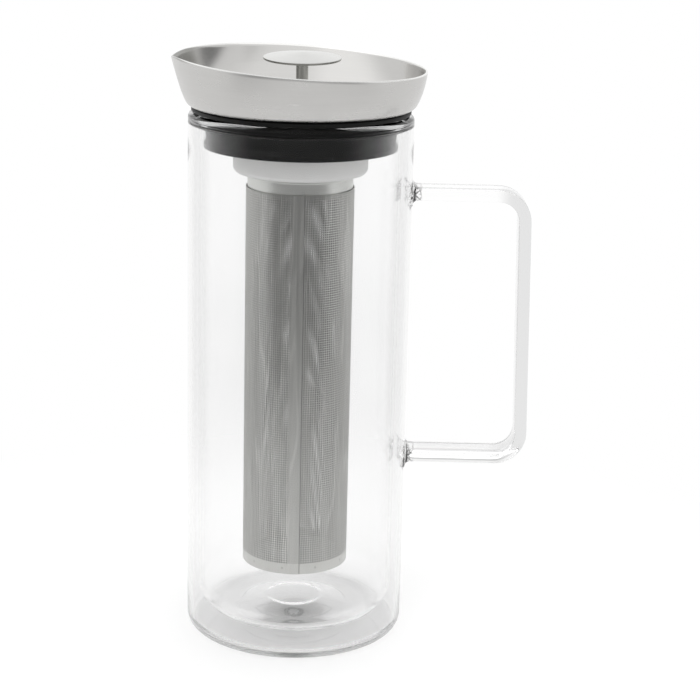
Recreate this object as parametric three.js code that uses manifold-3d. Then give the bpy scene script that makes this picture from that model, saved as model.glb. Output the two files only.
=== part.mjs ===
// Double-walled glass iced tea jug with a steel pouring collar, a lift-out stopper and a hanging
// filter. Millimetres, +Z up, origin at the middle of the flat base, on the jug's axis.
// The beak points to -X and the handle to +X.

import {
  BufferGeometry,
  ExtrudeGeometry,
  Float32BufferAttribute,
  Group,
  LatheGeometry,
  Mesh,
  MeshStandardMaterial,
  Path,
  Shape,
  Vector2,
} from "three";
import { mergeVertices } from "three/addons/utils/BufferGeometryUtils.js";
import Module from "manifold-3d";

const wasm = await Module();
wasm.setup();

// Fits and facets
const gap = 0.3;
const overrun = 6;
const jugSides = 48;
const lidSides = 36;
const filterSides = 36;
const collarSides = 56;
const pinSides = 20;
const cornerSteps = 4;
const edgeSteps = 2;
const sweepSteps = 3;
const wallSteps = 5;
const fullTurn = 360;
const halfTurn = 180;

// Glass jug
const bodyRadius = 52.5;
const bodyWall = 2;
const bodyCornerRadius = 6;
const baseThickness = 3.4;
const jugHeight = 253;
const airSpace = 3.2;
const vesselWall = 1.9;
const vesselFloorThickness = 2.4;
const vesselFloorLift = 5;
const vesselCornerRadius = 14;
const floorDomeMargin = 5.4;
const floorDomeFlatShare = 0.5;
const floorDomeRise = 3.3;
const lipHeight = 2.6;
const mouthFlare = 2;
const mouthFlareHeight = 8;
const ventRadius = 3;
const ventSeatRadius = 5.4;
const ventSeatDepth = 1.4;

// Handle
const handleThickness = 5.7;
const handleWidth = 16;
const handleTopDrop = 36.4;
const handleBottomHeight = 88.6;
const handleTopReach = 52.7;
const handleBottomReach = 55.6;
const handleBendRadius = 12.5;
const handleRootGrowth = 3.2;
const handleRootLength = 6.5;
const handleRootSteps = 3;
const handleEndSteps = 5;
const handleBendSteps = 7;

// Neck gasket
const gasketFlangeInset = 1.5;
const gasketFlangeThickness = 2;
const gasketDepth = 15.9;
const gasketWall = 8.3;
const gasketWaistInset = 1.2;
const gasketWaistDrop = 12.1;
const gasketLipHeight = 2.4;
const gasketHoldWidth = 3.5;
const gasketHoldThickness = 1.5;
const gasketEdgeRadius = 0.8;

// Pouring collar
const collarSheet = 1;
const collarFootInset = 0.6;
const collarHeelFlare = 3;
const collarHeelHeight = 1.8;
const collarBellyFlare = 3.5;
const collarBellyHeight = 8.1;
const rimFlare = 1;
const rimCheekSpread = 4.2;
const rimCheekPower = 3;
const rimRise = 20.5;
const rimTiltAngle = 3;
const beakReach = 2.5;
const beakDip = 2.1;
const beakSpreadAngle = 12.5;
const beakNoseAngle = 1.5;

// Throat tube
const throatSheet = 0.8;
const throatFlangeWidth = 4;
const throatLedgeWidth = 3.6;

// Stopper
const stopperOverlap = 3;
const stopperSheet = 1;
const stopperEdgeRadius = 0.4;
const sealClearance = 0.4;
const sealDepth = 6;
const sealWidth = 7.3;
const sealGrooveDepth = 1.1;
const sealLipHeight = 1.7;
const backingOverlap = 3.5;
const backingThickness = 1;
const spacerRadius = 4.2;
const nutSides = 6;
const nutFlatRadius = 3.5;
const nutThickness = 3.2;

// Knob
const stemRadius = 2.85;
const stemHeight = 18.2;
const studRadius = 2;
const studTipLength = 0.8;
const knobRadius = 18;
const knobEdgeThickness = 1.3;
const knobDomeRise = 1.9;
const knobEdgeRadius = 0.35;
const knobSocketDepth = 1.2;

// Filter
const cupClearance = 0.5;
const cupSheet = 0.8;
const cupDepth = 16.2;
const cupCornerRadius = 3.6;
const cupFlangeClearance = 0.4;
const cupFloorWidth = 4.1;
const neckSheet = 0.6;
const neckFlare = 2.75;
const neckFlareHeight = 5;
const neckPlugLength = 6;
const foilThickness = 0.4;
const foilFloorClearance = 19.9;
const seamWidth = 5.4;
const seamTurn = 270;
const endRingSheet = 0.8;
const endRingHeight = 5.2;
const endRingLedge = 2.6;
const endDiscThickness = 0.5;

// Heights and radii that follow from the sizes above
const vesselUnderside = baseThickness + vesselFloorLift;
const vesselFloor = vesselUnderside + vesselFloorThickness;
const vesselRadius = bodyRadius - bodyWall - airSpace;
const vesselBoreRadius = vesselRadius - vesselWall;
const vesselCornerCentre = vesselBoreRadius - vesselCornerRadius;
const floorDomeRadius = vesselCornerCentre - floorDomeMargin;
const mouthRadius = vesselBoreRadius + mouthFlare;
const lipBottom = jugHeight - lipHeight;
const gasketSealRadius = vesselBoreRadius - gap;
const gasketBoreRadius = gasketSealRadius - gasketWall;
const gasketFlangeRadius = bodyRadius - gasketFlangeInset;
const gasketFlangeBottom = jugHeight + gap;
const gasketTop = gasketFlangeBottom + gasketFlangeThickness;
const gasketBottom = jugHeight - gasketDepth;
const collarUnderside = gasketTop + gap;
const collarFootRadius = gasketFlangeRadius - collarFootInset;
const collarHeelRadius = collarFootRadius + collarHeelFlare;
const collarBellyRadius = collarHeelRadius + collarBellyFlare;
const throatFlangeBottom = collarUnderside + collarSheet + gap;
const throatTop = throatFlangeBottom + throatSheet;
const throatBottom = gasketBottom + gasketHoldThickness + gap;
const throatRadius = gasketBoreRadius - gap;
const throatBoreRadius = throatRadius - throatSheet;
const throatLedgeRadius = throatBoreRadius - throatLedgeWidth;
const stopperBottom = throatTop + gap;
const stopperTop = stopperBottom + stopperSheet;
const sealTop = stopperBottom - gap;
const sealBottom = sealTop - sealDepth;
const sealLipRadius = throatBoreRadius - sealClearance;
const sealInnerRadius = sealLipRadius - sealWidth;
const backingTop = sealBottom - gap;
const backingBottom = backingTop - backingThickness;
const nutTop = backingBottom - gap;
const nutBottom = nutTop - nutThickness;
const studHoleRadius = studRadius + gap;
const knobUnderside = stopperTop + stemHeight;
const cupRadius = throatLedgeRadius - cupClearance;
const cupFlangeBottom = throatBottom + throatSheet + gap;
const cupBottom = cupFlangeBottom - cupDepth;
const neckTop = cupBottom - gap;
const neckTopRadius = cupRadius - cupFloorWidth;
const neckRadius = neckTopRadius - neckFlare;
const foilTop = neckTop - neckFlareHeight;
const foilBottom = vesselFloor + floorDomeRise + foilFloorClearance;
const foilBoreRadius = neckRadius + gap;
const foilRadius = foilBoreRadius + foilThickness;

function radians(degrees) {
  return (degrees * Math.PI) / halfTurn;
}

// Points of an oval arc in the [radius, height] plane
function ovalArc(centre, radii, fromAngle, toAngle, steps) {
  const points = [];
  for (let step = 0; step <= steps; step += 1) {
    const angle = radians(fromAngle + ((toAngle - fromAngle) * step) / steps);
    points.push([centre[0] + radii[0] * Math.cos(angle), centre[1] + radii[1] * Math.sin(angle)]);
  }
  return points;
}

function arc(centre, radius, fromAngle, toAngle, steps = cornerSteps) {
  return ovalArc(centre, [radius, radius], fromAngle, toAngle, steps);
}

// Points of a quadratic curve, from its first point to its last
function curve(from, control, to, steps) {
  const points = [];
  for (let step = 0; step <= steps; step += 1) {
    const t = step / steps;
    const weights = [(1 - t) * (1 - t), 2 * t * (1 - t), t * t];
    points.push([0, 1].map((i) => weights[0] * from[i] + weights[1] * control[i] + weights[2] * to[i]));
  }
  return points;
}

// A profile without the points that repeat the one before them
function distinct(points) {
  return points.filter((point, i) => {
    const before = points[(i + points.length - 1) % points.length];
    return Math.hypot(point[0] - before[0], point[1] - before[1]) > Number.EPSILON;
  });
}

// Turns a profile of [radius, height] points about +Z. Its outer side runs upwards.
function turned(profile, sides) {
  const points = distinct(profile).map(([radius, height]) => new Vector2(radius, height));
  if (points[0].x > 0) {
    points.push(points[0].clone());
  }
  return new LatheGeometry(points, sides).rotateX(Math.PI / 2);
}

// Skin over rings of equal counts, either closed on itself or capped at both ends
function skinned(rings, closed) {
  const count = rings[0].length;
  const spans = closed ? rings.length : rings.length - 1;
  const index = [];
  for (let i = 0; i < spans; i += 1) {
    const here = i * count;
    const next = ((i + 1) % rings.length) * count;
    for (let j = 0; j < count; j += 1) {
      const k = (j + 1) % count;
      index.push(here + j, here + k, next + k, here + j, next + k, next + j);
    }
  }
  if (!closed) {
    const last = (rings.length - 1) * count;
    for (let j = 1; j < count - 1; j += 1) {
      index.push(0, j + 1, j, last, last + j, last + j + 1);
    }
  }
  const geometry = new BufferGeometry();
  geometry.setAttribute("position", new Float32BufferAttribute(rings.flat(2), 3));
  geometry.setIndex(index);
  geometry.computeVertexNormals();
  return geometry;
}

function toSolid(geometry) {
  const bare = geometry.clone();
  bare.deleteAttribute("normal");
  bare.deleteAttribute("uv");
  const merged = mergeVertices(bare);
  const vertProperties = new Float32Array(merged.attributes.position.array);
  const triVerts = new Uint32Array(merged.index.array);
  return new wasm.Manifold(new wasm.Mesh({ numProp: 3, vertProperties, triVerts }));
}

function fromSolid(solid) {
  const mesh = solid.getMesh();
  const geometry = new BufferGeometry();
  geometry.setAttribute("position", new Float32BufferAttribute(mesh.vertProperties, mesh.numProp));
  geometry.setIndex(Array.from(mesh.triVerts));
  geometry.computeVertexNormals();
  return geometry;
}

// Outer glass: straight wall, rounded foot, and a flat base with a stepped vent hole
function outerGlassBody() {
  const innerRadius = bodyRadius - bodyWall;
  const innerCorner = bodyCornerRadius - bodyWall;
  const top = lipBottom - gap;
  return turned(
    [
      [ventRadius, baseThickness],
      [ventRadius, ventSeatDepth],
      [ventSeatRadius, ventSeatDepth],
      [ventSeatRadius, 0],
      ...arc([bodyRadius - bodyCornerRadius, bodyCornerRadius], bodyCornerRadius, -90, 0),
      [bodyRadius, top],
      [innerRadius, top],
      ...arc([innerRadius - innerCorner, baseThickness + innerCorner], innerCorner, 0, -90),
    ],
    jugSides,
  );
}

// Vent plug: a soft button pressed into the stepped hole, flush with the base
function ventPlug() {
  const headTop = ventSeatDepth - gap;
  return turned(
    [
      [0, 0],
      [ventSeatRadius - gap, 0],
      [ventSeatRadius - gap, headTop],
      [ventRadius - gap, headTop],
      [ventRadius - gap, baseThickness],
      [0, baseThickness],
    ],
    pinSides,
  );
}

// Inner vessel: raised middle of the floor, rounded corner, straight wall, flared mouth, and the
// rounded lip that closes over the outer wall
function innerGlassVessel() {
  const outerCorner = vesselCornerRadius + vesselWall;
  const cornerCentre = vesselCornerCentre;
  const domeFlatRadius = floorDomeRadius * floorDomeFlatShare;
  const flareBottom = lipBottom - mouthFlareHeight;
  const flareMiddle = lipBottom - mouthFlareHeight / 2;
  const halfFlare = [(vesselBoreRadius + mouthRadius) / 2, flareMiddle];
  const lipRadius = (bodyRadius - mouthRadius) / 2;
  return turned(
    [
      [0, vesselUnderside + floorDomeRise],
      [domeFlatRadius, vesselUnderside + floorDomeRise],
      [floorDomeRadius, vesselUnderside],
      ...arc([cornerCentre, vesselUnderside + outerCorner], outerCorner, -90, 0),
      ...curve(
        [vesselRadius, flareBottom],
        [vesselRadius, flareMiddle],
        [bodyRadius - bodyWall - gap, lipBottom],
        edgeSteps,
      ),
      ...ovalArc([mouthRadius + lipRadius, lipBottom], [lipRadius, lipHeight], 0, 180, cornerSteps),
      ...curve([mouthRadius, lipBottom], [mouthRadius, flareMiddle], halfFlare, edgeSteps),
      ...curve(halfFlare, [vesselBoreRadius, flareMiddle], [vesselBoreRadius, flareBottom], edgeSteps),
      ...arc([cornerCentre, vesselFloor + vesselCornerRadius], vesselCornerRadius, 0, -90),
      [floorDomeRadius, vesselFloor],
      [domeFlatRadius, vesselFloor + floorDomeRise],
      [0, vesselFloor + floorDomeRise],
    ],
    jugSides,
  );
}

// Flat oval section of the handle: half circles at both sides, as [across, side] points
function handleSection(growth) {
  const half = (handleThickness + growth) / 2;
  const side = (handleWidth - handleThickness) / 2;
  const outline = [
    ...arc([side, 0], half, -90, 90, handleEndSteps),
    ...arc([-side, 0], half, 90, 270, handleEndSteps),
  ];
  return outline.map(([along, across]) => [across, along]);
}

// Stations [x, z, heading] of a right-hand bend between two headings, at a corner of the line
function bend(corner, fromHeading, toHeading) {
  const reach = handleBendRadius * Math.tan((fromHeading - toHeading) / 2);
  const startX = corner[0] - Math.cos(fromHeading) * reach;
  const startZ = corner[1] - Math.sin(fromHeading) * reach;
  const centreX = startX + Math.sin(fromHeading) * handleBendRadius;
  const centreZ = startZ - Math.cos(fromHeading) * handleBendRadius;
  const stations = [];
  for (let step = 0; step <= handleBendSteps; step += 1) {
    const heading = fromHeading + ((toHeading - fromHeading) * step) / handleBendSteps;
    const x = centreX - Math.sin(heading) * handleBendRadius;
    const z = centreZ + Math.cos(heading) * handleBendRadius;
    stations.push([x, z, heading]);
  }
  return stations;
}

// Stations of one root, from inside the wall to where the rod has its plain section
function root(height, heading) {
  const stations = [[bodyRadius - overrun, height, heading]];
  for (let step = 0; step <= handleRootSteps; step += 1) {
    stations.push([bodyRadius + (handleRootLength * step) / handleRootSteps, height, heading]);
  }
  return stations;
}

// Glass handle: one rod, bent twice, that thickens into both roots and ends on the wall
function glassHandle() {
  const outHeading = 0;
  const backHeading = -Math.PI;
  const topCorner = [bodyRadius + handleTopReach, jugHeight - handleTopDrop];
  const bottomCorner = [bodyRadius + handleBottomReach, handleBottomHeight];
  const downHeading = Math.atan2(bottomCorner[1] - topCorner[1], bottomCorner[0] - topCorner[0]);
  const stations = [
    ...root(topCorner[1], outHeading),
    ...bend(topCorner, outHeading, downHeading),
    ...bend(bottomCorner, downHeading, backHeading),
    ...root(bottomCorner[1], backHeading).reverse(),
  ];
  const rings = stations.map(([x, z, heading]) => {
    const fromWall = Math.max(x - bodyRadius, 0);
    const rootShare = Math.max(1 - fromWall / handleRootLength, 0);
    return handleSection(handleRootGrowth * rootShare * rootShare).map(([across, side]) => [
      x - Math.sin(heading) * across,
      side,
      z + Math.cos(heading) * across,
    ]);
  });
  const clearRadius = bodyRadius + gap;
  const wall = turned(
    [
      [0, 0],
      [clearRadius, 0],
      [clearRadius, jugHeight],
      [0, jugHeight],
    ],
    jugSides,
  );
  return fromSolid(toSolid(skinned(rings, false)).subtract(toSolid(wall)));
}

// Neck gasket: flange on the jug's lip, tapered body, waist, sealing lip, and an inner hold that
// wraps under the throat tube
function neckGasket() {
  const sealRadius = gasketSealRadius;
  const waistRadius = sealRadius - gasketWaistInset;
  const waistHeight = jugHeight - gasketWaistDrop;
  const shoulderRadius = mouthRadius - gap;
  const holdRadius = gasketBoreRadius - gasketHoldWidth;
  const holdTop = gasketBottom + gasketHoldThickness;
  const edge = gasketEdgeRadius;
  return turned(
    [
      [holdRadius, gasketBottom],
      ...arc([sealRadius - edge, gasketBottom + edge], edge, -90, 0, edgeSteps),
      [sealRadius, gasketBottom + gasketLipHeight],
      ...curve(
        [waistRadius, waistHeight],
        [(waistRadius + sealRadius) / 2, (waistHeight + lipBottom) / 2],
        [shoulderRadius, lipBottom],
        edgeSteps,
      ),
      [shoulderRadius, gasketFlangeBottom],
      ...arc([gasketFlangeRadius - edge, gasketFlangeBottom + edge], edge, -90, 0, edgeSteps),
      ...arc([gasketFlangeRadius - edge, gasketTop - edge], edge, 0, 90, edgeSteps),
      [gasketBoreRadius, gasketTop],
      [gasketBoreRadius, holdTop],
      [holdRadius, holdTop],
    ],
    jugSides,
  );
}

// Outer edge of the collar's rim, as [radius, height], at a turn angle from the handle's side:
// a tilted circle with spread cheeks and a creased beak
function collarRim(turn) {
  const fromBeak = Math.abs(halfTurn - turn);
  const crease = Math.hypot(fromBeak, beakNoseAngle) - beakNoseAngle;
  const beakShare = Math.exp(-crease / beakSpreadAngle);
  const cheekShare = Math.abs(Math.sin(radians(turn))) ** rimCheekPower;
  const radius = collarBellyRadius + rimFlare + rimCheekSpread * cheekShare + beakReach * beakShare;
  const fall = radius * Math.cos(radians(turn)) * Math.tan(radians(rimTiltAngle));
  return [radius, collarUnderside + rimRise - fall - beakDip * beakShare];
}

// Closed section of the collar's sheet at one turn angle: floor, heel, flared wall and rim
function collarSection(turn) {
  const foot = [collarFootRadius, collarUnderside];
  const heel = [collarHeelRadius, collarUnderside + collarHeelHeight];
  const belly = [collarBellyRadius, collarUnderside + collarBellyHeight];
  const outside = distinct([
    [gasketBoreRadius, collarUnderside],
    ...curve(foot, [(foot[0] + heel[0]) / 2, foot[1]], heel, edgeSteps),
    ...curve(heel, belly, collarRim(turn), wallSteps),
  ]);
  const inside = outside.map((point, i) => {
    const before = outside[Math.max(i - 1, 0)];
    const after = outside[Math.min(i + 1, outside.length - 1)];
    const length = Math.hypot(after[0] - before[0], after[1] - before[1]);
    const offset = collarSheet / length;
    return [point[0] + (before[1] - after[1]) * offset, point[1] + (after[0] - before[0]) * offset];
  });
  return [...inside, ...outside.reverse()];
}

// Pouring collar: its sections all round, with closer ones beside the crease of the beak
function pouringCollar() {
  const step = fullTurn / collarSides;
  const turns = [];
  for (let side = 0; side < collarSides; side += 1) {
    turns.push(side * step);
    const beakAhead = Math.abs(side * step - halfTurn);
    if (beakAhead < step * 2) {
      turns.push((side + 1 / 2) * step);
    }
  }
  const rings = turns.map((turn) =>
    collarSection(turn).map(([radius, height]) => [
      radius * Math.cos(radians(turn)),
      radius * Math.sin(radians(turn)),
      height,
    ]),
  );
  return skinned(rings, true);
}

// Throat tube: flange on the collar's floor, tube through the gasket, inward ledge for the filter
function throatTube() {
  const flangeRadius = throatRadius + throatFlangeWidth;
  return turned(
    [
      [throatLedgeRadius, throatBottom],
      [throatRadius, throatBottom],
      [throatRadius, throatFlangeBottom],
      [flangeRadius, throatFlangeBottom],
      [flangeRadius, throatTop],
      [throatBoreRadius, throatTop],
      [throatBoreRadius, throatBottom + throatSheet],
      [throatLedgeRadius, throatBottom + throatSheet],
    ],
    lidSides,
  );
}

// Stopper plate: a disc with rounded edges and a hole for the stud
function stopperPlate() {
  const edge = stopperEdgeRadius;
  const edgeCentre = throatRadius + stopperOverlap - edge;
  return turned(
    [
      [studHoleRadius, stopperBottom],
      ...arc([edgeCentre, stopperBottom + edge], edge, -90, 0, edgeSteps),
      ...arc([edgeCentre, stopperTop - edge], edge, 0, 90, edgeSteps),
      [studHoleRadius, stopperTop],
    ],
    lidSides,
  );
}

// Stopper seal: a ring with two lips against the throat's bore
function stopperSeal() {
  const lipRadius = sealLipRadius;
  const grooveRadius = lipRadius - sealGrooveDepth;
  return turned(
    [
      [sealInnerRadius, sealBottom],
      [lipRadius, sealBottom],
      [lipRadius, sealBottom + sealLipHeight],
      [grooveRadius, sealBottom + sealLipHeight],
      [grooveRadius, sealTop - sealLipHeight],
      [lipRadius, sealTop - sealLipHeight],
      [lipRadius, sealTop],
      [sealInnerRadius, sealTop],
    ],
    lidSides,
  );
}

// A plain ring between two heights
function ring(innerRadius, outerRadius, bottom, top, sides) {
  return turned(
    [
      [innerRadius, bottom],
      [outerRadius, bottom],
      [outerRadius, top],
      [innerRadius, top],
    ],
    sides,
  );
}

// Stopper nut: a hexagon with a round bore
function stopperNut() {
  const cornerRadius = nutFlatRadius / Math.cos(Math.PI / nutSides);
  const outline = [];
  for (let side = 0; side < nutSides; side += 1) {
    const angle = (side * 2 * Math.PI) / nutSides;
    outline.push(new Vector2(cornerRadius * Math.cos(angle), cornerRadius * Math.sin(angle)));
  }
  const shape = new Shape(outline);
  shape.holes.push(new Path().absarc(0, 0, studHoleRadius, 0, 2 * Math.PI));
  const nut = new ExtrudeGeometry(shape, {
    depth: nutThickness,
    bevelEnabled: false,
    curveSegments: pinSides / 2,
  });
  return nut.translate(0, 0, nutBottom);
}

// Knob stem: a rod with a shoulder on the stopper plate and a thinner stud through it
function knobStem() {
  const shoulder = stopperTop + gap;
  const top = knobUnderside + knobSocketDepth - gap;
  return turned(
    [
      [0, nutBottom - studTipLength],
      [studRadius, nutBottom - studTipLength],
      [studRadius, shoulder],
      [stemRadius, shoulder],
      [stemRadius, top],
      [0, top],
    ],
    pinSides,
  );
}

// Knob disc: thin edge, low dome, and a blind socket for the stem
function knobDisc() {
  const edge = knobEdgeRadius;
  const edgeTop = knobUnderside + knobEdgeThickness;
  const crown = edgeTop + knobDomeRise;
  return turned(
    [
      [0, knobUnderside + knobSocketDepth],
      [stemRadius + gap, knobUnderside + knobSocketDepth],
      [stemRadius + gap, knobUnderside],
      ...arc([knobRadius - edge, knobUnderside + edge], edge, -90, 0, edgeSteps),
      ...curve([knobRadius, edgeTop - edge], [knobRadius - edge, edgeTop], [0, crown], cornerSteps),
    ],
    lidSides,
  );
}

// Filter cup: flange on the throat's ledge, straight wall, rounded corner and a ring of floor
function filterCup() {
  const flangeRadius = throatBoreRadius - cupFlangeClearance;
  const flangeTop = cupFlangeBottom + cupSheet;
  const boreRadius = cupRadius - cupSheet;
  const boreCorner = cupCornerRadius - cupSheet;
  const holeRadius = neckTopRadius - neckSheet - gap;
  const floor = cupBottom + cupSheet;
  return turned(
    [
      [holeRadius, cupBottom],
      ...arc([cupRadius - cupCornerRadius, cupBottom + cupCornerRadius], cupCornerRadius, -90, 0),
      [cupRadius, cupFlangeBottom],
      [flangeRadius, cupFlangeBottom],
      [flangeRadius, flangeTop],
      [boreRadius, flangeTop],
      ...arc([boreRadius - boreCorner, floor + boreCorner], boreCorner, 0, -90),
      [holeRadius, floor],
    ],
    filterSides,
  );
}

// Filter neck: flares under the cup's floor and plugs into the top of the foil sleeve
function filterNeck() {
  const bore = neckRadius - neckSheet;
  const plugEnd = foilTop - neckPlugLength;
  return turned(
    [
      [bore, plugEnd],
      [neckRadius, plugEnd],
      ...curve([neckRadius, foilTop], [neckRadius, neckTop], [neckTopRadius, neckTop], sweepSteps),
      ...curve([neckTopRadius - neckSheet, neckTop], [bore, neckTop], [bore, foilTop], sweepSteps),
    ],
    filterSides,
  );
}

// Filter foil: a rolled sleeve whose edges lap along one seam, where it is two layers thick
function filterFoil() {
  const halfSeam = ((seamWidth / 2 / foilRadius) * halfTurn) / Math.PI;
  const lapRadius = foilRadius + foilThickness;
  const bodyEnd = seamTurn + fullTurn - halfSeam;
  const bodyArc = arc([0, 0], foilRadius, seamTurn + halfSeam, bodyEnd, filterSides);
  const lapArc = arc([0, 0], lapRadius, seamTurn - halfSeam, seamTurn + halfSeam, edgeSteps);
  const shape = new Shape([...bodyArc, ...lapArc].map(([x, y]) => new Vector2(x, y)));
  const bore = arc([0, 0], foilBoreRadius, seamTurn, seamTurn + fullTurn, filterSides).slice(1);
  shape.holes.push(new Path(bore.map(([x, y]) => new Vector2(x, y))));
  const sleeve = new ExtrudeGeometry(shape, { depth: foilTop - foilBottom, bevelEnabled: false });
  return sleeve.translate(0, 0, foilBottom);
}

// End ring: stiffens the foil's lower edge and carries the end disc on its ledge
function filterEndRing() {
  const outer = foilBoreRadius - gap;
  const ledge = foilBottom + endRingSheet;
  return turned(
    [
      [outer - endRingLedge, foilBottom],
      [outer, foilBottom],
      [outer, foilBottom + endRingHeight],
      [outer - endRingSheet, foilBottom + endRingHeight],
      [outer - endRingSheet, ledge],
      [outer - endRingLedge, ledge],
    ],
    filterSides,
  );
}

// End disc: the round foil that closes the sleeve
function filterEndDisc() {
  const radius = foilBoreRadius - gap - endRingSheet - gap;
  const bottom = foilBottom + endRingSheet + gap;
  return turned(
    [
      [0, bottom],
      [radius, bottom],
      [radius, bottom + endDiscThickness],
      [0, bottom + endDiscThickness],
    ],
    filterSides,
  );
}

// Finishes
function finish(name, color, roughness, metalness) {
  return new MeshStandardMaterial({ name, color, roughness, metalness });
}

function clearGlass(name) {
  const glass = finish(name, 0xf3f7f7, 0.03, 0);
  glass.transparent = true;
  glass.opacity = 0.3;
  return glass;
}

function named(name, geometry, material) {
  const mesh = new Mesh(geometry, material);
  mesh.name = name;
  return mesh;
}

const jug = new Group();
jug.add(
  named("outer_glass_body", outerGlassBody(), clearGlass("outer glass")),
  named("inner_glass_vessel", innerGlassVessel(), clearGlass("inner glass")),
  named("glass_handle", glassHandle(), clearGlass("handle glass")),
  named("vent_plug", ventPlug(), finish("clear silicone", 0xe4e8e8, 0.5, 0)),
);

const filter = new Group();
filter.add(
  named("filter_cup", filterCup(), finish("cup steel", 0xb7b7b5, 0.34, 1)),
  named("filter_neck", filterNeck(), finish("neck steel", 0xb2b3b0, 0.34, 1)),
  named("filter_foil", filterFoil(), finish("etched foil", 0x8c8c8a, 0.42, 1)),
  named("filter_end_ring", filterEndRing(), finish("ring steel", 0xb6b6b4, 0.36, 1)),
  named("filter_end_disc", filterEndDisc(), finish("disc foil", 0x9a9a98, 0.42, 1)),
);

const stopper = new Group();
const spacerBottom = backingTop + gap;
const spacerTop = stopperBottom - gap;
const backingRadius = sealInnerRadius + backingOverlap;
stopper.add(
  named("stopper_plate", stopperPlate(), finish("plate steel", 0xc4c4c1, 0.3, 1)),
  named("stopper_seal", stopperSeal(), finish("seal silicone", 0x242424, 0.6, 0)),
  named(
    "stopper_backing_plate",
    ring(studHoleRadius, backingRadius, backingBottom, backingTop, lidSides),
    finish("backing steel", 0xb9b9b6, 0.35, 1),
  ),
  named(
    "stopper_spacer",
    ring(studHoleRadius, spacerRadius, spacerBottom, spacerTop, pinSides),
    finish("spacer steel", 0xaeaeac, 0.35, 1),
  ),
  named("stopper_nut", stopperNut(), finish("nut steel", 0xaaaaa8, 0.3, 1)),
  named("knob_stem", knobStem(), finish("stem steel", 0x7d7d79, 0.22, 1)),
  named("knob_disc", knobDisc(), finish("knob steel", 0xe2e2e0, 0.32, 1)),
);

const lid = new Group();
lid.add(
  named("pouring_collar", pouringCollar(), finish("collar steel", 0xc2c3c0, 0.33, 1)),
  named("throat_tube", throatTube(), finish("throat steel", 0xb4b4b2, 0.33, 1)),
  named("neck_gasket", neckGasket(), finish("black silicone", 0x242424, 0.55, 0)),
  filter,
  stopper,
);

const icedTeaMaker = new Group();
icedTeaMaker.add(jug, lid);

export default icedTeaMaker;
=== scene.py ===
import math

import bmesh
import bpy
from mathutils import Matrix, Vector


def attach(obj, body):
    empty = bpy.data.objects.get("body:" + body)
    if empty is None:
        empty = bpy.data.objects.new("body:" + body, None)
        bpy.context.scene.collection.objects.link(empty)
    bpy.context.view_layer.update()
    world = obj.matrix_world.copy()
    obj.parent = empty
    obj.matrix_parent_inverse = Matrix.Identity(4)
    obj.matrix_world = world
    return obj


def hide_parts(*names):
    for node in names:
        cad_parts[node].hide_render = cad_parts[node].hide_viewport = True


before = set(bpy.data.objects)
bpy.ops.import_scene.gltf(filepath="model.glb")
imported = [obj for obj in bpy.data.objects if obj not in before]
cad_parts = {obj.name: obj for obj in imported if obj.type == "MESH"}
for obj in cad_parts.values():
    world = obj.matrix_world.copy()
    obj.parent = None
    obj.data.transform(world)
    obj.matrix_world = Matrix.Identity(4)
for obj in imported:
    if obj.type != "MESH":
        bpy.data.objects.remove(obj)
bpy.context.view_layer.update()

# Lengths are millimetres, and MM makes them the scene's metres; angles are degrees
MM = 0.001
JOIN = 0.001
GAP = 0.3
GLASS_SIDES = 192
STEEL_SIDES = 144
SMALL_SIDES = 48
NUT_SIDES = 6
HARD_EDGE, WELDED_EDGE, CUT_EDGE = 32, 40, 60

# Glass jug
BODY_RADIUS = 52.5
BODY_WALL = 2.0
FOOT_CORNER = 6.0
BASE_THICKNESS = 3.4
BORE_RADIUS = 45.4
VESSEL_WALL = 1.9
FOLD_LEVEL = 247.4
WALL_ROW = 11.0
BASE_ROW = 8.0
LIP_LEVEL = 250.4
LIP_HEIGHT = 2.6
LIP_INSIDE_LEVEL = 248.4
LIP_MIDDLE = (BODY_RADIUS + BORE_RADIUS) / 2
LIP_HALF = (BODY_RADIUS - BORE_RADIUS) / 2
LIP_RISE = LIP_LEVEL + LIP_HEIGHT - LIP_INSIDE_LEVEL

# Floor of the glass vessel, with its raised middle
FLOOR_LEVEL = 10.8
FLOOR_THICKNESS = 2.4
FLOOR_CORNER = 14.0
DOME_RADIUS = 26.0
DOME_FLAT_RADIUS = 13.0
DOME_RISE = 3.3
DOME_ROUNDING = 4.0
DOME_FOOT_ROUNDING = 3.0

# Vent in the glass base, and its plug
VENT_RADIUS = 3.0
VENT_SEAT_RADIUS = 5.4
VENT_SEAT_DEPTH = 1.4
VENT_OVERLAP = 0.02

# Handle
HANDLE_THICKNESS = 5.7
HANDLE_WIDTH = 16.0
HANDLE_END = 1.1
HANDLE_TOP = (105.2, 216.6)
HANDLE_BOTTOM = (108.1, 88.6)
HANDLE_BEND = 12.5
HANDLE_FILLET = 2.4
HANDLE_SIDES = 40
ROOT_SINK = 1.6
ROOT_STEP = 0.6
ROOT_RUN = 4.0
ROOT_SHARES = (0, 0.08, 0.2, 0.35, 0.55, 0.75, 1)

# Throat tube, which clamps collar and gasket and carries the filter
THROAT_RADIUS = 36.5
THROAT_SHEET = 0.8
THROAT_BOTTOM = 238.9
THROAT_FLANGE_RADIUS = 40.5
LEDGE_RADIUS = 32.1
LID_HOLE = THROAT_RADIUS + GAP

# Pouring collar
COLLAR_SIDES = 288
COLLAR_UNDERSIDE = 255.6
COLLAR_SHEET = 1.0
COLLAR_FOOT = (50.4, 0.0)
COLLAR_HEEL = (53.4, 1.8)
COLLAR_BELLY = (56.9, 8.1)
COLLAR_EDGE = 0.22
RIM_RADIUS = 57.9
RIM_RISE = 20.5
RIM_TILT = 3.0
CHEEK_SWELL = 4.2
BEAK_REACH = 2.5
BEAK_DIP = 2.1
BEAK_SPREAD = 12.5
CREASE_SPREAD = 1.5

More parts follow.
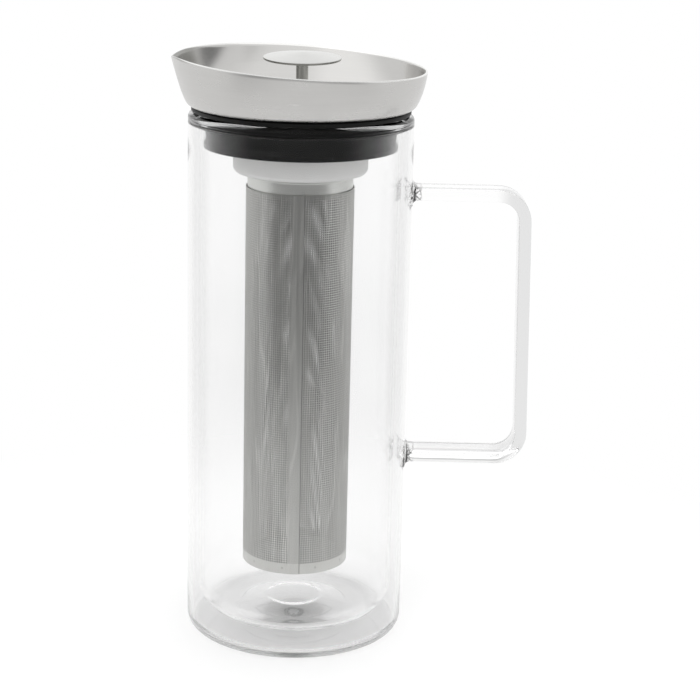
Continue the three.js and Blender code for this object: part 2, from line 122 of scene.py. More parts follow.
# Gasket, which is pressed against the bore and the inner half of the lip
GASKET_BOTTOM = 237.1
GASKET_TOP = COLLAR_UNDERSIDE - GAP
GASKET_INSIDE = 33.3
SEAL_LIP_RADIUS = 45.1
SEAL_LIP_HEIGHT = 2.6
LOWER_RING_HEIGHT = 1.5
WAIST = (43.7, 241.4)
WAIST_TOP = (44.3, 246.5)
SEAT_DEPTH = 0.03
SEAT_START, SEAT_END = 170, 125
FLANGE_RADIUS = 51.0
FLANGE_INNER_RADIUS = 47.2
FLANGE_HEIGHT = 2.0

# Stopper and knob
STOPPER_RADIUS = 39.5
STOPPER_BOTTOM = 258.0
PLATE_SHEET = 1.0
SEAL_RADIUS = 35.3
SEAL_HOLE = 28.0
SEAL_GROOVE_RADIUS = 34.2
SEAL_RIB_HEIGHT = 1.7
SEAL_BOTTOM = 251.7
SEAL_TOP = STOPPER_BOTTOM - GAP
BACKING_RADIUS = 31.5
BACKING_TOP = SEAL_BOTTOM - GAP
SPACER_RADIUS = 4.2
NUT_RADIUS = 4.0
NUT_HEIGHT = 3.2
STUD_RADIUS = 2.0
STUD_BOTTOM = 246.1
STUD_HOLE = STUD_RADIUS + GAP
STEM_RADIUS = 2.85
STEM_TOP = 278.1
KNOB_RADIUS = 18.0
KNOB_UNDERSIDE = 277.2
KNOB_SHOULDER = 278.15
KNOB_TOP = 280.4
KNOB_EDGE = 0.35
KNOB_ROW = 3.0
KNOB_LEAN = 2.5
KNOB_LEAN_LEVEL = 277.8

# Filter
CUP_RADIUS = 31.6
CUP_SHEET = 0.8
CUP_BOTTOM = 225.2
CUP_HOLE = 26.6
CUP_RIM_RADIUS = 35.3
CUP_RIM_LEVEL = THROAT_BOTTOM + THROAT_SHEET + GAP
NECK_RADIUS = 24.75
NECK_SHEET = 0.6
NECK_BOTTOM = 216.4
NECK_FLARE_LEVEL = 223.2
NECK_TOP = 224.9
NECK_FLARE_RADIUS = 27.5
NECK_FLARE_DROP = 0.1
FOIL_RADIUS = 25.45
FOIL_SHEET = 0.2
FOIL_BOTTOM = 34.0
FOIL_TOP = 218.5
FOIL_SIDES = 220
FOIL_ROWS = 12
SEAM_WIDTH = 5.4
SEAM_STEP = 1.5
SEAM_CLEARANCE = 0.03
HOLE_PITCH = 1.12
HOLE_WIDTH = 0.52
HOLE_UNEVENNESS = 0.07
BOTTOM_BORDER = 5.4
TOP_BORDER = 0.5
SEAM_BORDER = 0.15
WELD_HEIGHT = 2.9
WELDS = 10
END_RING_SHEET = 0.8
END_RING_HEIGHT = 5.2
END_RING_HOLE = 22.15
END_DISC_RADIUS = NECK_RADIUS - END_RING_SHEET - GAP
END_DISC_LEVEL = FOIL_BOTTOM + END_RING_SHEET + GAP
END_DISC_SHEET = 0.5
END_DISC_FIELD = 21.4


# Shaping
def edit():
    bpy.ops.object.mode_set(mode="EDIT")


def leave_edit():
    bpy.ops.object.mode_set(mode="OBJECT")


def select_points():
    bpy.ops.mesh.select_all(action="SELECT")


def select_only(piece):
    bpy.ops.object.select_all(action="DESELECT")
    piece.select_set(True)
    bpy.context.view_layer.objects.active = piece


def circle(name, sides, radius, **more):
    bpy.ops.mesh.primitive_circle_add(vertices=sides, radius=radius, **more)
    piece = bpy.context.object
    piece.name = piece.data.name = name
    return piece


def modify(piece, kind, **values):
    """Gives a piece a modifier with some values, and applies it."""
    made = with_values(piece.modifiers.new(kind.lower(), kind), **values)
    bpy.ops.object.modifier_apply(modifier=made.name)


def with_values(made, **values):
    for key, value in values.items():
        setattr(made, key, value)
    return made


def single_point(name):
    """An object of one point, in edit mode, ready to be drawn out."""
    piece = circle(name, 3, MM)
    edit()
    select_points()
    bpy.ops.mesh.merge(type="CENTER")
    return piece


def draw_line(points):
    """Draws the one point of an object in edit mode out along points."""
    bpy.ops.transform.translate(value=Vector(points[0]) * MM)
    for here, there in zip(points, points[1:]):
        step = (Vector(there) - Vector(here)) * MM
        bpy.ops.mesh.extrude_vertices_move(TRANSFORM_OT_translate={"value": step})


def close_up():
    """Merges doubled points and turns every face outwards."""
    select_points()
    bpy.ops.mesh.remove_doubles(threshold=JOIN * MM)
    bpy.ops.mesh.normals_make_consistent(inside=False)


def thicken(piece, thickness):
    """Gives an open sheet round the axis its thickness, on the side towards the axis."""
    leave_edit()
    face = piece.data.polygons[-1]
    faces_out = face.normal.x * face.center.x + face.normal.y * face.center.y > 0
    offset = -1 if faces_out else 1
    modify(piece, "SOLIDIFY", thickness=thickness * MM, offset=offset, use_even_offset=True)


def turn_selection(angle, axis, x, z):
    """Turns the selected points about an axis through (x, 0, z); the angle is in radians."""
    centre = (x * MM, 0, z * MM)
    bpy.ops.transform.rotate(value=angle, orient_axis=axis, orient_type="GLOBAL", center_override=centre)


def lean(angle, level):
    """Turns the top of the piece made last towards the front, about the axis at a level."""
    edit()
    select_points()
    turn_selection(math.radians(-angle), "X", 0, level)
    leave_edit()


def smooth(piece, angle=HARD_EDGE):
    """Shades a piece smooth, but for its edges that are sharper than an angle."""
    leave_edit()
    select_only(piece)
    bpy.ops.object.shade_smooth_by_angle(angle=math.radians(angle))
    return piece


def turned(name, profile, sides):
    """Spins a profile of (radius, height) points about the jug's axis."""
    piece = single_point(name)
    draw_line([(radius, 0, height) for radius, height in profile])
    select_points()
    bpy.ops.mesh.spin(steps=sides, angle=math.tau, center=(0, 0, 0), axis=(0, 0, 1))
    close_up()
    return smooth(piece)


def arc(centre, radii, start, end, steps):
    """Points of a part of an ellipse, between two angles."""
    points = []
    for step in range(steps + 1):
        angle = math.radians(start + (end - start) * step / steps)
        points.append((centre[0] + radii[0] * math.cos(angle), centre[1] + radii[1] * math.sin(angle)))
    return points


def swoop(start, control, end, steps):
    """Points of a quadratic curve."""
    points = []
    for step in range(steps + 1):
        t = step / steps
        a, b, c = (1 - t) ** 2, 2 * t * (1 - t), t * t
        points.append(tuple(a * p + b * q + c * r for p, q, r in zip(start, control, end)))
    return points


def run(start, end, spacing=WALL_ROW):
    """Evenly spaced points of a straight line, both ends left out."""
    count = max(int(math.dist(start, end) / spacing), 1)
    return [tuple(a + (b - a) * i / count for a, b in zip(start, end)) for i in range(1, count)]


def eased(corners, closed=False):
    """A profile with rounded corners: each corner is (radius, height) or (radius, height, rounding)."""
    arc_step = 12
    longest_share = 0.48
    points = []
    for i, corner in enumerate(corners):
        here = Vector(corner[:2])
        if len(corner) < 3 or (not closed and i in (0, len(corners) - 1)):
            points.append(tuple(here))
            continue
        before = Vector(corners[i - 1][:2]) - here
        after = Vector(corners[(i + 1) % len(corners)][:2]) - here
        half = before.angle(after) / 2
        reach = min(corner[2] / math.tan(half), longest_share * before.length, longest_share * after.length)
        rounding = reach * math.tan(half)
        towards_centre = (before.normalized() + after.normalized()).normalized()
        centre = here + towards_centre * rounding / math.sin(half)
        first = here + before.normalized() * reach - centre
        last = here + after.normalized() * reach - centre
        swing = first.angle_signed(last)
        steps = max(2, round(abs(math.degrees(swing)) / arc_step))
        for step in range(steps + 1):
            points.append(tuple(centre + Matrix.Rotation(-swing * step / steps, 2) @ first))
    if closed:
        points.append(points[0])
    return points


def ring(name, corners, sides=STEEL_SIDES):
    """Spins a closed section with rounded corners."""
    return turned(name, eased(corners, closed=True), sides)


def washer(name, radius, bottom, top, rounding, sides=STEEL_SIDES):
    """A flat ring on the stopper's stud, with rounded outer edges."""
    return ring(name, [
        (STUD_HOLE, bottom, 0.1), (radius, bottom, rounding),
        (radius, top, rounding), (STUD_HOLE, top, 0.1),
    ], sides)


# Glass jug
def lip_inside(inset, start, end, steps):
    """The lip's rounding on the bore's side, or a line just within the glass."""
    return arc((LIP_MIDDLE, LIP_INSIDE_LEVEL), (LIP_HALF - inset, LIP_RISE - inset), start, end, steps)


def vessel_inside():
    """From the middle of the floor up the bore and over the lip."""
    points = eased([
        (0, FLOOR_LEVEL + DOME_RISE), (DOME_FLAT_RADIUS, FLOOR_LEVEL + DOME_RISE, DOME_ROUNDING),
        (DOME_RADIUS, FLOOR_LEVEL, DOME_FOOT_ROUNDING), (BORE_RADIUS, FLOOR_LEVEL, FLOOR_CORNER),
        (BORE_RADIUS, FLOOR_LEVEL + 2 * FLOOR_CORNER),
    ])
    points += run(points[-1], (BORE_RADIUS, LIP_INSIDE_LEVEL))
    points += lip_inside(0, 180, 90, 12)
    points += arc((LIP_MIDDLE, LIP_LEVEL), (LIP_HALF, LIP_HEIGHT), 90, 0, 10)[1:]
    return points


def body_outside():
    """From below the lip down the wall and under the base to the vent."""
    foot = (BODY_RADIUS - FOOT_CORNER, FOOT_CORNER)
    points = run((BODY_RADIUS, LIP_LEVEL), (BODY_RADIUS, FOOT_CORNER))[1:]
    points += arc(foot, (FOOT_CORNER, FOOT_CORNER), 0, -90, 10)
    points += run(points[-1], (VENT_SEAT_RADIUS, 0), BASE_ROW)
    points += [
        (VENT_SEAT_RADIUS, 0), (VENT_SEAT_RADIUS, VENT_SEAT_DEPTH),
        (VENT_RADIUS, VENT_SEAT_DEPTH), (VENT_RADIUS, BASE_THICKNESS),
    ]
    return points


def space_between_walls():
    """From the vent over the base, up the wall, round the fold, and down and under the vessel."""
    wall_radius, corner = BODY_RADIUS - BODY_WALL, FOOT_CORNER - BODY_WALL
    points = run((VENT_RADIUS, BASE_THICKNESS), (wall_radius - corner, BASE_THICKNESS), BASE_ROW)
    points += arc((wall_radius - corner, BASE_THICKNESS + corner), (corner, corner), -90, 0, 8)
    vessel_radius = BORE_RADIUS + VESSEL_WALL
    fold = (wall_radius - vessel_radius) / 2
    points += run((wall_radius, BASE_THICKNESS + corner), (wall_radius, FOLD_LEVEL))
    points += arc((wall_radius - fold, FOLD_LEVEL), (fold, fold), 0, 180, 10)
    underside = FLOOR_LEVEL - FLOOR_THICKNESS
    vessel_corner = FLOOR_CORNER + VESSEL_WALL
    centre = (vessel_radius - vessel_corner, underside + vessel_corner)
    points += run((vessel_radius, FOLD_LEVEL), (vessel_radius, centre[1]))
    points += arc(centre, (vessel_corner, vessel_corner), 0, -90, 10)
    points += eased([
        (DOME_RADIUS + DOME_FOOT_ROUNDING, underside),
        (DOME_RADIUS, underside, 2 * DOME_FOOT_ROUNDING),
        (DOME_FLAT_RADIUS, underside + DOME_RISE, DOME_ROUNDING + DOME_FOOT_ROUNDING),
        (0, underside + DOME_RISE),
    ])
    return points


def handle_stations():
    """(x, z, heading, growth of the section) from the top root to the bottom root."""
    in_fillet = (HANDLE_FILLET * share for share in ROOT_SHARES)
    root = [BODY_RADIUS + out for out in (-ROOT_SINK, -ROOT_STEP, *in_fillet, HANDLE_FILLET + ROOT_RUN)]

    def growth(x):
        short_of_end = HANDLE_FILLET - min(max(x - BODY_RADIUS, 0), HANDLE_FILLET)
        return 2 * (HANDLE_FILLET - math.sqrt(HANDLE_FILLET ** 2 - short_of_end ** 2))

    down = math.atan2(HANDLE_BOTTOM[1] - HANDLE_TOP[1], HANDLE_BOTTOM[0] - HANDLE_TOP[0])
    stations = [(x, HANDLE_TOP[1], 0, growth(x)) for x in root]
    stations += bend(HANDLE_TOP, 0, down)
    stations += bend(HANDLE_BOTTOM, down, -math.pi)
    stations += [(x, HANDLE_BOTTOM[1], -math.pi, growth(x)) for x in reversed(root)]
    return stations


def bend(corner, heading, onward, steps=14):
    """Stations round a corner of the handle's line."""
    reach = HANDLE_BEND * math.tan((heading - onward) / 2)
    centre_x = corner[0] - math.cos(heading) * reach + math.sin(heading) * HANDLE_BEND
    centre_z = corner[1] - math.sin(heading) * reach - math.cos(heading) * HANDLE_BEND
    stations = []
    for step in range(steps + 1):
        turn = heading + (onward - heading) * step / steps
        x = centre_x - math.sin(turn) * HANDLE_BEND
        z = centre_z + math.cos(turn) * HANDLE_BEND
        stations.append((x, z, turn, 0))
    return stations


def swell(x, z, before, after):
    """Grows the oval section on its centre, by the same length across and along."""
    across = (HANDLE_THICKNESS + after) / (HANDLE_THICKNESS + before)
    along = (HANDLE_WIDTH + after) / (HANDLE_WIDTH + before)
    bpy.ops.transform.resize(value=(1, along, across), center_override=(x * MM, 0, z * MM))


def flat_oval():
    """The handle's section: a round face made narrow, with its two halves drawn apart."""
    radius, turn = HANDLE_THICKNESS / 2 * MM, (0, math.pi / 2, 0)
    rod = circle("handle_rod", HANDLE_SIDES, radius, fill_type="NGON", rotation=turn)
    bpy.ops.object.transform_apply(location=False)
    edit()
    bpy.ops.mesh.select_mode(type="VERT")
    select_points()
    narrow = HANDLE_END * MM / radius
    bpy.ops.transform.resize(value=(1, narrow, 1), center_override=(0, 0, 0))
    side = (HANDLE_WIDTH / 2 - HANDLE_END) * MM
    for half in (-1, 1):
        mesh = bmesh.from_edit_mesh(rod.data)
        for vertex in mesh.verts:
            vertex.select = vertex.co.y * half > JOIN * MM
        mesh.select_flush_mode()
        bpy.ops.transform.translate(value=(0, half * side, 0))
    select_points()
    return rod


def handle_rod():
    """The glass rod: its section drawn out along the handle's line, with swollen roots."""
    rod = flat_oval()
    stations = handle_stations()
    x, z, heading, growth = stations[0]
    bpy.ops.transform.translate(value=(x * MM, 0, z * MM))
    swell(x, z, 0, growth)
    for next_x, next_z, next_heading, next_growth in stations[1:]:
        step = ((next_x - x) * MM, 0, (next_z - z) * MM)
        bpy.ops.mesh.extrude_region_move(TRANSFORM_OT_translate={"value": step})
        if next_heading != heading:
            turn_selection(next_heading - heading, "Y", next_x, next_z)
        if next_growth != growth:
            swell(next_x, next_z, growth, next_growth)
        x, z, heading, growth = next_x, next_z, next_heading, next_growth
    close_up()
    return smooth(rod)


def glass_jug():
    """Body, vessel and handle, fused into one glass as they are on the real jug."""
    body = turned("glass_jug", vessel_inside() + body_outside() + space_between_walls(), GLASS_SIDES)
    rod = handle_rod()
    select_only(body)
    modify(body, "BOOLEAN", operation="UNION", solver="EXACT", object=rod)
    bpy.data.objects.remove(rod)
    return smooth(body, WELDED_EDGE)


def vent_button():
    """The stepped plug; it overlaps the glass a little, as clear silicone that wets its seat."""
    seat_radius = VENT_SEAT_RADIUS + VENT_OVERLAP
    stem_radius = VENT_RADIUS + VENT_OVERLAP
    seat_level = VENT_SEAT_DEPTH + VENT_OVERLAP
    return turned("vent_button", eased([
        (0, 0), (seat_radius, 0, 0.2),
        (seat_radius, seat_level, 0.2), (stem_radius, seat_level, 0.1),
        (stem_radius, BASE_THICKNESS, 0.2), (0, BASE_THICKNESS),
    ]), SMALL_SIDES)


# Lid
def gasket_ring():
    """Flange on the lip, waist, and sealing lip in the bore."""
    lower_ring_top = GASKET_BOTTOM + LOWER_RING_HEIGHT
    return ring("gasket_ring", [
        (GASKET_INSIDE, GASKET_BOTTOM, 0.3), (SEAL_LIP_RADIUS, GASKET_BOTTOM, 1.0),
        (SEAL_LIP_RADIUS, GASKET_BOTTOM + SEAL_LIP_HEIGHT, 1.2), (*WAIST, 3.0),
        (*WAIST_TOP, 6.0), *lip_inside(SEAT_DEPTH, SEAT_START, SEAT_END, 8),
        (FLANGE_INNER_RADIUS, GASKET_TOP - FLANGE_HEIGHT, 0.2),
        (FLANGE_RADIUS, GASKET_TOP - FLANGE_HEIGHT, 0.6), (FLANGE_RADIUS, GASKET_TOP, 0.8),
        (LID_HOLE, GASKET_TOP, 0.3), (LID_HOLE, lower_ring_top, 0.2),
        (GASKET_INSIDE, lower_ring_top, 0.3),
    ], GLASS_SIDES)


def rim_point(turn):
    """The collar's rim, as (radius, height), at a turn in degrees from the handle's side."""
    from_crease = math.hypot(abs(180 - turn), CREASE_SPREAD) - CREASE_SPREAD
    beak = math.exp(-from_crease / BEAK_SPREAD)
    cheek = abs(math.sin(math.radians(turn))) ** 3
    radius = RIM_RADIUS + CHEEK_SWELL * cheek + BEAK_REACH * beak
    fall = radius * math.cos(math.radians(turn)) * math.tan(math.radians(RIM_TILT))
    return radius, COLLAR_UNDERSIDE + RIM_RISE - fall - BEAK_DIP * beak


def collar_section(turn):
    """The sheet's outer line at a turn: flat floor, heel, and flaring side up to the rim."""
    corners = (COLLAR_FOOT, COLLAR_HEEL, COLLAR_BELLY)
    foot, heel, belly = ((radius, COLLAR_UNDERSIDE + rise) for radius, rise in corners)
    floor = [(LID_HOLE + (foot[0] - LID_HOLE) * i / 3, COLLAR_UNDERSIDE) for i in range(3)]
    round_heel = swoop(foot, ((foot[0] + heel[0]) / 2, foot[1]), heel, 5)
    return floor + round_heel + swoop(heel, belly, rim_point(turn), 16)[1:]


def pouring_collar():
    """A ring drawn out and up, section by section, then thickened into sheet."""
    collar = circle("collar_bowl", COLLAR_SIDES, LID_HOLE * MM)
    edit()
    mesh = bmesh.from_edit_mesh(collar.data)
    turns = [math.degrees(math.atan2(vertex.co.y, vertex.co.x)) % 360 for vertex in mesh.verts]
    sections = [collar_section(turn) for turn in turns]
    for level in range(len(sections[0])):
        if level:
            bpy.ops.mesh.extrude_edges_move()
            mesh = bmesh.from_edit_mesh(collar.data)
        edge_ring = [vertex for vertex in mesh.verts if vertex.select]
        for vertex, turn, section in zip(edge_ring, turns, sections):
            radius, height = section[level]
            angle = math.radians(turn)
            vertex.co = Vector((radius * math.cos(angle), radius * math.sin(angle), height)) * MM
    bmesh.update_edit_mesh(collar.data)
    select_points()
    bpy.ops.mesh.normals_make_consistent(inside=False)
    thicken(collar, COLLAR_SHEET)
    limit = math.radians(CUT_EDGE)
    modify(collar, "BEVEL", width=COLLAR_EDGE * MM, segments=2, limit_method="ANGLE", angle_limit=limit)
    edit()
    close_up()
    return smooth(collar)


def throat_sleeve():
    """Tube with a flange over the collar's floor and an inward ledge for the filter."""
    flange_level = COLLAR_UNDERSIDE + COLLAR_SHEET + GAP
    flange_top = flange_level + THROAT_SHEET
    ledge_top = THROAT_BOTTOM + THROAT_SHEET
    inside = THROAT_RADIUS - THROAT_SHEET
    return ring("throat_sleeve", [
        (LEDGE_RADIUS, THROAT_BOTTOM, 0.25), (THROAT_RADIUS, THROAT_BOTTOM, 0.9),
        (THROAT_RADIUS, flange_level, 0.6), (THROAT_FLANGE_RADIUS, flange_level, 0.3),
        (THROAT_FLANGE_RADIUS, flange_top, 0.3), (inside, flange_top, 1.0),
        (inside, ledge_top, 0.5), (LEDGE_RADIUS, ledge_top, 0.25),
    ])


# Filter
def cup_shell():
    """Shallow cup with an outward rim and an open floor."""
    rim_top = CUP_RIM_LEVEL + CUP_SHEET
    inside = CUP_RADIUS - CUP_SHEET
    return ring("cup_shell", [
        (CUP_HOLE, CUP_BOTTOM, 0.2), (CUP_RADIUS, CUP_BOTTOM, 4.4),
        (CUP_RADIUS, CUP_RIM_LEVEL, 0.5), (CUP_RIM_RADIUS, CUP_RIM_LEVEL, 0.3),
        (CUP_RIM_RADIUS, rim_top, 0.3), (inside, rim_top, 0.9),
        (inside, CUP_BOTTOM + CUP_SHEET, 3.6), (CUP_HOLE, CUP_BOTTOM + CUP_SHEET, 0.2),
    ])


def neck_flare():
    """Smooth band inside the sleeve's top, flared out under the cup."""
    inside = NECK_RADIUS - NECK_SHEET
    flare_inside = NECK_FLARE_RADIUS - NECK_SHEET
    turn = (NECK_RADIUS, NECK_TOP - NECK_FLARE_DROP)
    outer_curve = swoop((NECK_RADIUS, NECK_FLARE_LEVEL), turn, (NECK_FLARE_RADIUS, NECK_TOP), 10)
    inner_curve = swoop((flare_inside, NECK_TOP), (inside, NECK_TOP), (inside, NECK_FLARE_LEVEL), 10)
    bottom_inside, bottom_outside = (inside, NECK_BOTTOM), (NECK_RADIUS, NECK_BOTTOM)
    profile = [bottom_inside, bottom_outside, *outer_curve, *inner_curve, bottom_inside]
    return turned("neck_flare", profile, STEEL_SIDES)


def foil_sleeve():
    """Thin sheet rolled once round, with its end lapped over its start, drawn up and thickened."""
    lap = math.degrees(SEAM_WIDTH / FOIL_RADIUS)
    start_turn, end_turn = 270 - lap / 2, 630 + lap / 2
    outline = []
    for i in range(FOIL_SIDES + 1):
        turn = start_turn + (end_turn - start_turn) * i / FOIL_SIDES
        over = min(max((turn - (end_turn - lap - SEAM_STEP)) / SEAM_STEP, 0), 1)
        radius = FOIL_RADIUS + over * (FOIL_SHEET + SEAM_CLEARANCE)
        angle = math.radians(turn)
        outline.append((radius * math.cos(angle), radius * math.sin(angle), FOIL_BOTTOM))
    sleeve = single_point("foil_sleeve")
    draw_line(outline)
    select_points()
    rise = (FOIL_TOP - FOIL_BOTTOM) / FOIL_ROWS
    for _ in range(FOIL_ROWS):
        bpy.ops.mesh.extrude_edges_move(TRANSFORM_OT_translate={"value": (0, 0, rise * MM)})
    select_points()
    bpy.ops.mesh.normals_make_consistent(inside=False)
    thicken(sleeve, FOIL_SHEET)
    return smooth(sleeve)


def end_hoop():
    """Angle ring inside the sleeve's foot, which carries the end disc."""
    inside = NECK_RADIUS - END_RING_SHEET
    floor = FOIL_BOTTOM + END_RING_SHEET
    top = FOIL_BOTTOM + END_RING_HEIGHT
    return ring("end_hoop", [
        (END_RING_HOLE, FOIL_BOTTOM, 0.2), (NECK_RADIUS, FOIL_BOTTOM, 0.7),
        (NECK_RADIUS, top, 0.25), (inside, top, 0.25),
        (inside, floor, 0.3), (END_RING_HOLE, floor, 0.2),
    ])


def end_screen():
    """Flat etched disc on the end ring."""
    top = END_DISC_LEVEL + END_DISC_SHEET
    profile = [(0, END_DISC_LEVEL), (END_DISC_RADIUS, END_DISC_LEVEL), (END_DISC_RADIUS, top), (0, top)]
    return turned("end_screen", profile, STEEL_SIDES)


# Stopper
def seal_ring():
    """Silicone ring with a rib at its top and bottom."""
    return ring("seal_ring", [
        (SEAL_HOLE, SEAL_BOTTOM, 0.3), (SEAL_RADIUS, SEAL_BOTTOM, 0.5),
        (SEAL_RADIUS, SEAL_BOTTOM + SEAL_RIB_HEIGHT, 0.5),
        (SEAL_GROOVE_RADIUS, SEAL_BOTTOM + SEAL_RIB_HEIGHT, 0.3),
        (SEAL_GROOVE_RADIUS, SEAL_TOP - SEAL_RIB_HEIGHT, 0.3),
        (SEAL_RADIUS, SEAL_TOP - SEAL_RIB_HEIGHT, 0.5), (SEAL_RADIUS, SEAL_TOP, 0.5),
        (SEAL_HOLE, SEAL_TOP, 0.3),
    ])


def stem_rod():
    """Stem on the stopper, turned down to a stud below it."""
    shoulder = STOPPER_BOTTOM + PLATE_SHEET + GAP
    return turned("stem_rod", eased([
        (0, STUD_BOTTOM), (STUD_RADIUS, STUD_BOTTOM, 0.3),
        (STUD_RADIUS, shoulder, 0.1), (STEM_RADIUS, shoulder, 0.15),
        (STEM_RADIUS, STEM_TOP, 0.15), (0, STEM_TOP),
    ]), SMALL_SIDES)


def knob_cap():
    """Thin disc with a low crown and a recess for the stem, leaning as in the photograph."""
    recess_top = STEM_TOP + GAP
    mouth = (STEM_RADIUS + GAP, KNOB_UNDERSIDE)
    edge_radius = KNOB_RADIUS - KNOB_EDGE
    crown = swoop((KNOB_RADIUS, KNOB_SHOULDER), (edge_radius, KNOB_SHOULDER + KNOB_EDGE), (0, KNOB_TOP), 24)
    knob = turned("knob_cap", [
        (0, recess_top), (mouth[0], recess_top), mouth,
        *run(mouth, (edge_radius, KNOB_UNDERSIDE), KNOB_ROW),
        *arc((edge_radius, KNOB_UNDERSIDE + KNOB_EDGE), (KNOB_EDGE, KNOB_EDGE), -90, 0, 5),
        *crown,
    ], STEEL_SIDES)
    lean(KNOB_LEAN, KNOB_LEAN_LEVEL)
    return knob


# Nodes of the materials
def srgb(level):
    share = level / 255
    return ((share + 0.055) / 1.055) ** 2.4 if share > 0.04045 else share / 12.92


def tone(red, green, blue):
    return tuple(srgb(level) for level in (red, green, blue))


def grey(level):
    return tone(level, level, level)


def shade(colour, level):
    return tuple(min(channel * level, 1) for channel in colour)


def node(tree, kind, **values):
    return with_values(tree.nodes.new(kind), **values)


def feed(socket, value):
    """Sets a socket to a number or colour, or links it to another socket."""
    if isinstance(value, (int, float)):
        socket.default_value = value
    elif isinstance(value, tuple):
        socket.default_value = (*value, 1) if len(value) < len(socket.default_value) else value
    else:
        socket.id_data.links.new(value, socket)


def fill(owner, **values):
    """Feeds the inputs of a node, whose names have underscores here for their spaces."""
    for label, value in values.items():
        feed(owner.inputs[label.replace("_", " ")], value)


def maths(operation, *values):
    tree = next(value.id_data for value in values if isinstance(value, bpy.types.NodeSocket))
    made = node(tree, "ShaderNodeMath", operation=operation)
    for socket, value in zip(made.inputs, values):
        feed(socket, value)
    return made.outputs[0]


def times(first, *others):
    for other in others:
        first = maths("MULTIPLY", first, other)
    return first


def plus(first, *others):
    for other in others:
        first = maths("ADD", first, other)
    return first


def minus(first, second):
    return maths("SUBTRACT", first, second)


def distance(first, second):
    return maths("ABSOLUTE", minus(first, second))


def ramp(value, low, high, to_low=0.0, to_high=1.0):
    """A smooth step of a value, between two of its levels."""
    made = node(value.id_data, "ShaderNodeMapRange", interpolation_type="SMOOTHSTEP")
    for socket, level in zip(made.inputs, (value, low, high, to_low, to_high)):
        feed(socket, level)
    return made.outputs[0]


def fade(length, low, high, to_low=0.0, to_high=1.0):
    """A smooth step of a length, between two lengths in millimetres."""
    return ramp(length, low * MM, high * MM, to_low, to_high)


def blend(share, first, second):
    made = node(share.id_data, "ShaderNodeMix", data_type="RGBA")
    feed(made.inputs[0], share)
    feed(made.inputs[6], first)
    feed(made.inputs[7], second)
    return made.outputs[2]


def noise(vector, scale, detail=2.0, depth=None):
    made = node(vector.id_data, "ShaderNodeTexNoise", noise_dimensions="3D" if depth is None else "4D")
    fill(made, Vector=vector, Scale=scale, Detail=detail)
    if depth is not None:
        fill(made, W=depth)
    return made.outputs["Fac"]


def stretched(place, scale, detail, start=(0, 0, 0), turn=(0, 0, 0)):
    """Noise at its own scale along each axis."""
    made = node(place.id_data, "ShaderNodeMapping")
    fill(made, Vector=place, Location=start, Rotation=turn, Scale=scale)
    return noise(made.outputs[0], 1, detail)


def object_place(tree):
    return node(tree, "ShaderNodeTexCoord").outputs["Object"]


def parts_of(vector):
    split = node(vector.id_data, "ShaderNodeSeparateXYZ")
    feed(split.inputs[0], vector)
    return tuple(split.outputs)


def around_axis(tree):
    """Place on the piece, its (x, y, z), and its distance from the axis."""
    place = object_place(tree)
    x, y, z = parts_of(place)
    reach = maths("SQRT", plus(times(x, x), times(y, y)))
    return place, (x, y, z), reach


def turn_share(along, reach):
    """The cosine or sine of the turn about the axis, from x or y."""
    return maths("DIVIDE", along, maths("MAXIMUM", reach, 0.1 * MM))


def facing_up(tree):
    return parts_of(node(tree, "ShaderNodeNewGeometry").outputs["Normal"])[2]


def material(name):
    made = bpy.data.materials.new(name)
    made.use_nodes = True
    tree = made.node_tree
    return made, tree, tree.nodes["Principled BSDF"], tree.nodes["Material Output"]


def bump(height, strength, depth, under=None):
    """A bump's normal, laid over another bump where one is given."""
    made = node(height.id_data, "ShaderNodeBump")
    fill(made, Strength=strength, Distance=depth * MM, Height=height)
    if under is not None:
        fill(made, Normal=under)
    return made.outputs[0]


def either(share, first, second):
    """One shader blended to another by a share."""
    made = node(share.id_data, "ShaderNodeMixShader")
    for socket, value in zip(made.inputs, (share, first, second)):
        feed(socket, value)
    return made.outputs[0]


# Effects that materials share
def effect(name, inputs, outputs):
    """A node group with number inputs and outputs."""
    made = bpy.data.node_groups.new(name, "ShaderNodeTree")
    for label, value in inputs:
        socket = made.interface.new_socket(name=label, in_out="INPUT", socket_type="NodeSocketFloat")
        socket.default_value = value
    for label in outputs:
        made.interface.new_socket(name=label, in_out="OUTPUT", socket_type="NodeSocketFloat")
    return made, made.nodes.new("NodeGroupInput").outputs, made.nodes.new("NodeGroupOutput").inputs


def placed(tree, group, **values):
    """An effect in a material, with its own values."""
    made = node(tree, "ShaderNodeGroup", node_tree=group)
    fill(made, **values)
    return made.outputs


def turning_lines():
    """Fine rings left by spinning and brushing, with a soft uneven polish over them."""
    made, given, wanted = effect(
        "turning_lines", [("Line Width", 0.25), ("Streak Length", 1.6)], ["Lines", "Bands", "Polish"]
    )
    place, (x, y, z), reach = around_axis(made)
    line_width = times(given["Line Width"], MM)
    for label, wider, longer in (("Lines", 1, 1), ("Bands", 9, 2)):
        width = times(line_width, wider)
        turn = times(given["Streak Length"], 1 / longer)
        vector = node(made, "ShaderNodeCombineXYZ")
        feed(vector.inputs[0], times(turn_share(x, reach), turn))
        feed(vector.inputs[1], times(turn_share(y, reach), turn))
        feed(vector.inputs[2], maths("DIVIDE", reach, width))
        feed(wanted[label], noise(vector.outputs[0], 1, 2, maths("DIVIDE", z, width)))
    feed(wanted["Polish"], noise(place, 42, 3))
    return made


